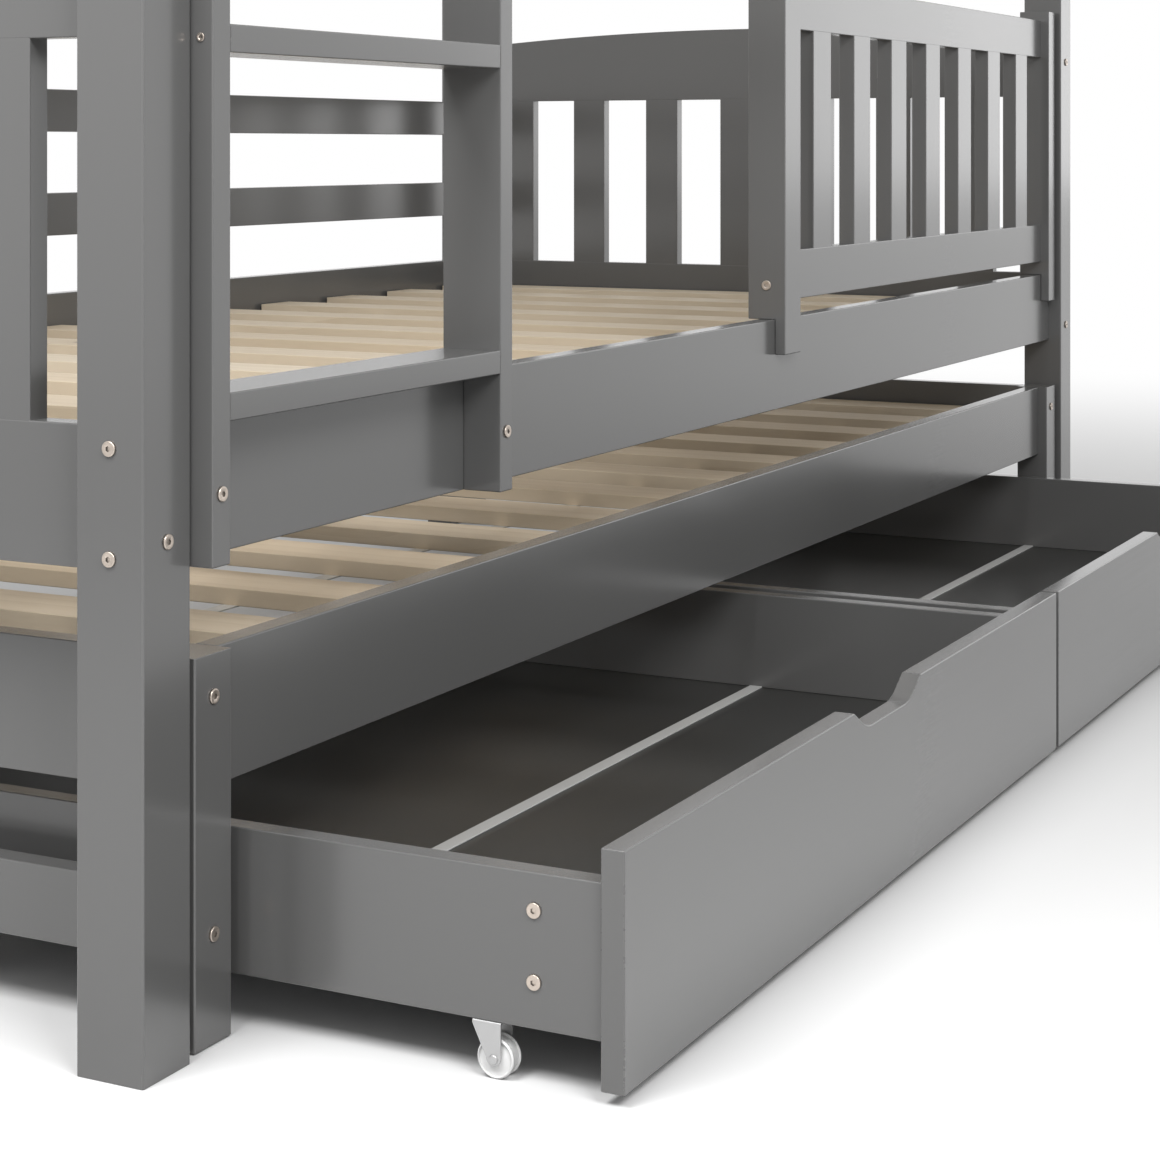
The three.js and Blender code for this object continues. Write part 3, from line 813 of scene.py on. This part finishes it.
rail_bolt_lifts = (0.0104, 0.0780)
panel_bolt_lifts = (0.0195, 0.3775)
stile_bolt_lift = 0.0455
screw_inset = 0.009
guard_bolt_lift = 0.034
guard_bolt_drop = 0.0285
guest_bolt_levels = (0.2228, 0.0714)
drawer_bolt_inset = 0.0474
drawer_bolt_lifts = (0.0288, 0.0725)
frame_bolts = bmesh.new()
for post in ("front_left", "back_left", "front_right", "back_right"):
    low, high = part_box(f"post_{post}")
    middle = (low + high) / 2
    end_face, end_out = (low.x, -1) if post.endswith("left") else (high.x, 1)
    front_face, front_out = (low.y, -1) if post.startswith("front") else (high.y, 1)
    for bunk in ("lower", "upper"):
        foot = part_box(f"{bunk}_side_rail_front")[0].z
        for lift in rail_bolt_lifts:
            add_bolt(frame_bolts, (end_face, middle.y, foot + lift), (end_out, 0, 0))
        for lift in panel_bolt_lifts:
            add_bolt(frame_bolts, (middle.x, front_face, foot + lift), (0, front_out, 0))

for side in ("left", "right"):
    low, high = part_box(f"ladder_stile_{side}")
    middle = (low.x + high.x) / 2
    for bunk in ("lower", "upper"):
        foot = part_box(f"{bunk}_side_rail_front")[0].z
        add_bolt(frame_bolts, (middle, low.y, foot + stile_bolt_lift), (0, -1, 0))
    face, out = (low.x, -1) if side == "left" else (high.x, 1)
    for node in (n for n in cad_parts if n.startswith("ladder_tread_")):
        tread_low, tread_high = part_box(node)
        level = (tread_low.z + tread_high.z) / 2
        if tread_low.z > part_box("lower_side_rail_front")[1].z + screw_radius:
            for y in (low.y + screw_inset, tread_high.y - screw_inset):
                add_bolt(frame_bolts, (face, y, level), (out, 0, 0), screw_radius)

for bunk in ("lower", "upper"):
    low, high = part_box(f"{bunk}_front_guard")
    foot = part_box(f"{bunk}_side_rail_front")[1].z
    for level in (foot + guard_bolt_lift, high.z - guard_bolt_drop):
        for face, out in ((low.x, -1), (high.x, 1)):
            add_bolt(frame_bolts, (face, (low.y + high.y) / 2, level), (out, 0, 0))
piece("frame_bolts", frame_bolts, nickel, "bed_frame", "zinc_steel")

guest_bolts = bmesh.new()
for side in ("left", "right"):
    for leg, out in (("front", -1), ("back", 1)):
        low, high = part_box(f"guest_leg_{leg}_{side}")
        face = low.y if out < 0 else high.y
        for level in guest_bolt_levels:
            add_bolt(guest_bolts, ((low.x + high.x) / 2, face, level), (0, out, 0))
piece("guest_bed_bolts", guest_bolts, nickel, "guest_bed", "zinc_steel")

for number in (1, 2):
    body = f"drawer_{number}"
    low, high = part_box(f"{body}_sides_and_back")
    drawer_bolts = bmesh.new()
    for face, out in ((low.x, -1), (high.x, 1)):
        for lift in drawer_bolt_lifts:
            place = (face, low.y + drawer_bolt_inset, low.z + lift)
            add_bolt(drawer_bolts, place, (out, 0, 0))
    piece(f"{body}_bolts", drawer_bolts, nickel, body, "zinc_steel")
